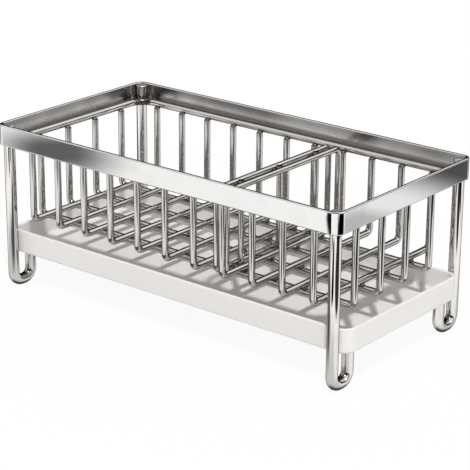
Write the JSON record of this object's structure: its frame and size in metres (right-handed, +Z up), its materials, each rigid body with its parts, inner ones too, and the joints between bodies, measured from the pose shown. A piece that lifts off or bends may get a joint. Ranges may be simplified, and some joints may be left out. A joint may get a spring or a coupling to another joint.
{
  "type": "kitchen sink caddy",
  "caption": "Steel wire caddy for sponges and brushes beside a sink: flat rim band on bent rod legs, hanging wire basket, lift-out divider, slide-out drip tray.",
  "frame": {"origin": "on the ground, under the middle of the frame", "axes": "+X along the length, towards the divider's end; +Y to the rear; +Z up"},
  "size_m": [0.231, 0.1174, 0.0946],
  "materials": {
    "band_steel": "polished",
    "leg_steel": "polished",
    "wire_steel": "polished",
    "tray_plastic": "satin"
  },
  "bodies": {
    "frame": {"rim_band": "band_steel", "basket_ring": "wire_steel", "leg_front_left": "leg_steel", "leg_front_right": "leg_steel", "leg_rear_left": "leg_steel", "leg_rear_right": "leg_steel", "cross_wire_01": "wire_steel", "cross_wire_02": "wire_steel", "cross_wire_03": "wire_steel", "cross_wire_04": "wire_steel", "cross_wire_05": "wire_steel", "cross_wire_06": "wire_steel", "cross_wire_07": "wire_steel", "cross_wire_08": "wire_steel", "cross_wire_09": "wire_steel", "cross_wire_10": "wire_steel", "cross_wire_11": "wire_steel", "long_wire_1": "wire_steel", "long_wire_2": "wire_steel", "long_wire_3": "wire_steel", "long_wire_4": "wire_steel"},
    "tray": {"drip_tray": "tray_plastic"},
    "divider": {"divider_loop": "wire_steel", "divider_bow": "wire_steel", "divider_upright_1": "wire_steel", "divider_upright_2": "wire_steel", "divider_upright_3": "wire_steel"}
  },
  "joints": [
    {"name": "tray_slide", "type": "slide", "parent": "frame", "child": "tray", "axis": [1, 0, 0], "range_m": [-0.236, 0.236]},
    {"name": "divider_lift", "type": "slide", "parent": "frame", "child": "divider", "axis": [0, 0, 1], "range_m": [0, 0.06]}
  ]
}
